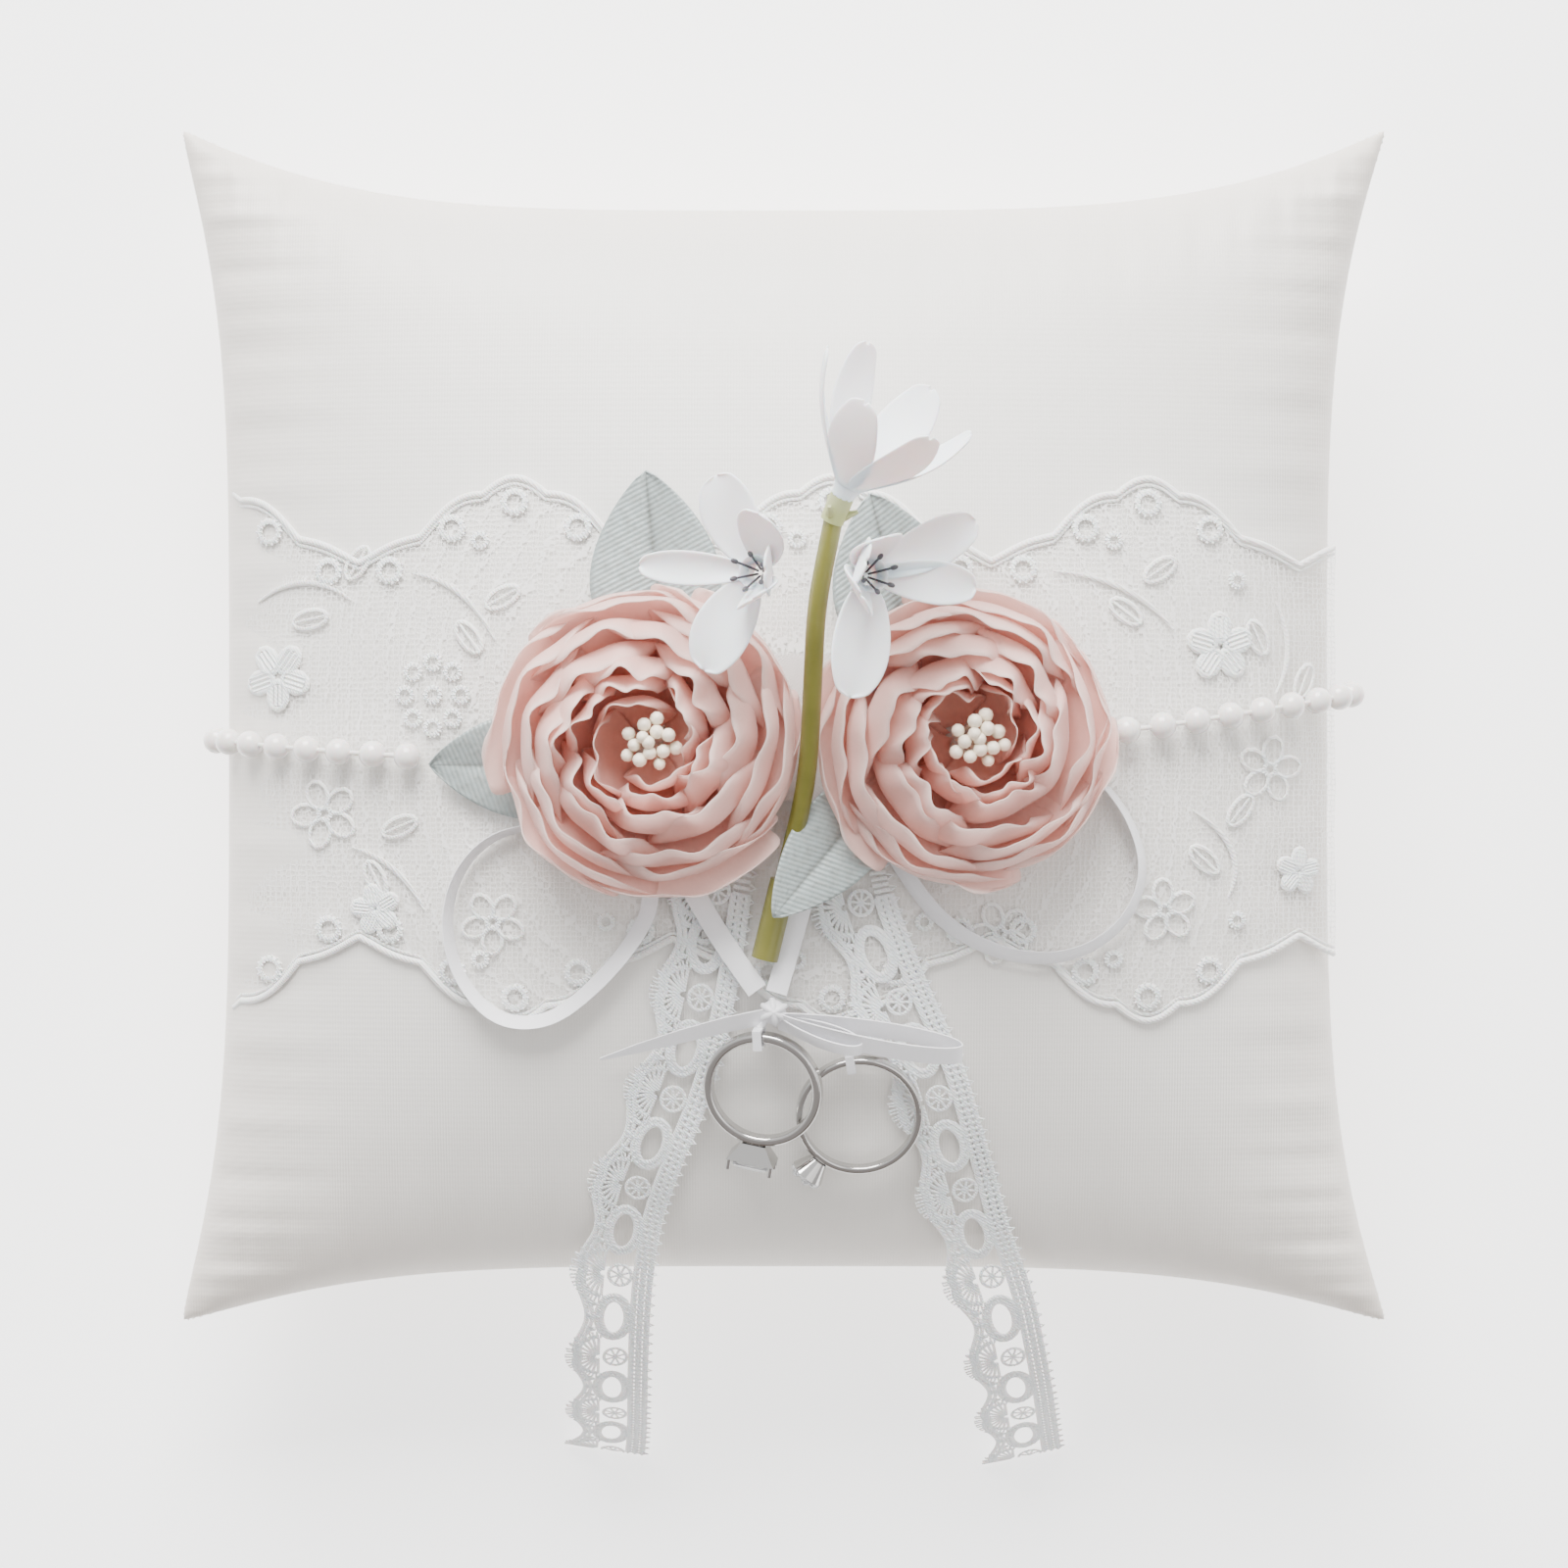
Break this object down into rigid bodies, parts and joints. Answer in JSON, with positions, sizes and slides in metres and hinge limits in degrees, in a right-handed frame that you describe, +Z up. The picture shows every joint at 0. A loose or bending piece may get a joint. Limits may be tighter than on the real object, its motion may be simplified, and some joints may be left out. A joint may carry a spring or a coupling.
{
  "type": "ring bearer pillow",
  "caption": "Square stuffed satin pillow with a lace band, pearl strings, fabric roses and blossoms, lace tails and wedding rings tied on with a bow.",
  "frame": {"origin": "middle of the flattened patch that the pillow rests on", "axes": "+Z up, out of the decorated face of the pillow as it lies on its back; +Y towards the pillow's top edge; +X to the right as the face is seen"},
  "size_m": [0.205, 0.229, 0.1071],
  "materials": {
    "satin": "ivory satin",
    "tulle": "embroidered tulle",
    "pearl": "pearl lustre",
    "felt": "felt",
    "rose_organza": "sheer organza",
    "calyx": "felt",
    "stamen": "gloss",
    "leaf_cloth": "woven shimmer",
    "stem": "satin",
    "blossom": "matte foam",
    "blossom_stamen": "matte",
    "ribbon": "satin ribbon",
    "lace": "cotton lace",
    "silver": "polished",
    "stone": "clear faceted"
  },
  "bodies": {
    "pillow": {"cover_front": "satin", "cover_back": "satin", "filling": "satin", "lace_band": "tulle", "pearls_left": "pearl", "pearls_right": "pearl", "felt_pad": "felt", "rose_left_outer_petals": "rose_organza", "rose_left_middle_petals": "rose_organza", "rose_left_inner_petals": "rose_organza", "rose_right_outer_petals": "rose_organza", "rose_right_middle_petals": "rose_organza", "rose_right_inner_petals": "rose_organza", "rose_left_calyx": "calyx", "rose_right_calyx": "calyx", "rose_left_stamens": "stamen", "rose_right_stamens": "stamen", "leaf_upper_left": "leaf_cloth", "leaf_lower_left": "leaf_cloth", "leaf_lower_middle": "leaf_cloth", "leaf_upper_right": "leaf_cloth", "flower_stem": "stem", "stem_sleeve": "stem", "blossom_left_petals": "blossom", "blossom_right_petals": "blossom", "blossom_top_petals": "blossom", "blossom_left_stamens": "blossom_stamen", "blossom_right_stamens": "blossom_stamen", "blossom_top_stamens": "blossom_stamen", "ribbon_loop_left": "ribbon", "ribbon_loop_right": "ribbon", "tie_strand_left": "ribbon", "tie_strand_right": "ribbon", "lace_tail_left": "lace", "lace_tail_right": "lace"},
    "ring_tie": {"tie_knot": "ribbon", "bow_loop_small": "ribbon", "bow_loop_large": "ribbon", "bow_tail": "ribbon", "tie_loop_left": "ribbon", "tie_loop_right": "ribbon"},
    "ring_left": {"ring_left_band": "silver", "ring_left_setting": "silver", "ring_left_stone": "stone"},
    "ring_right": {"ring_right_band": "silver", "ring_right_setting": "silver", "ring_right_stones": "stone"},
    "lace_end_left": {"lace_end_left": "lace"},
    "lace_end_right": {"lace_end_right": "lace"}
  },
  "joints": [
    {"name": "rings_lift", "type": "hinge", "parent": "pillow", "child": "ring_tie", "pos_m": [-0.00163, -0.04613, 0.06402], "axis": [-1, 0, 0], "range_deg": [0, 80]},
    {"name": "ring_left_swing", "type": "hinge", "parent": "ring_tie", "child": "ring_left", "pos_m": [-0.00394, -0.05017, 0.06301], "axis": [-0.1901, -0.3171, 0.9291], "range_deg": [-10, 2]},
    {"name": "ring_right_swing", "type": "hinge", "parent": "ring_tie", "child": "ring_right", "pos_m": [0.0106, -0.05418, 0.05987], "axis": [0.0304, -0.3601, 0.9324], "range_deg": [-2, 10]},
    {"name": "lace_left_lift", "type": "hinge", "parent": "pillow", "child": "lace_end_left", "pos_m": [-0.02751, -0.08474, 0.04269], "axis": [-0.9899, 0.1414, 0], "range_deg": [0, 60]},
    {"name": "lace_right_lift", "type": "hinge", "parent": "pillow", "child": "lace_end_right", "pos_m": [0.03056, -0.08472, 0.04251], "axis": [-0.9417, -0.3363, 0], "range_deg": [0, 60]}
  ]
}
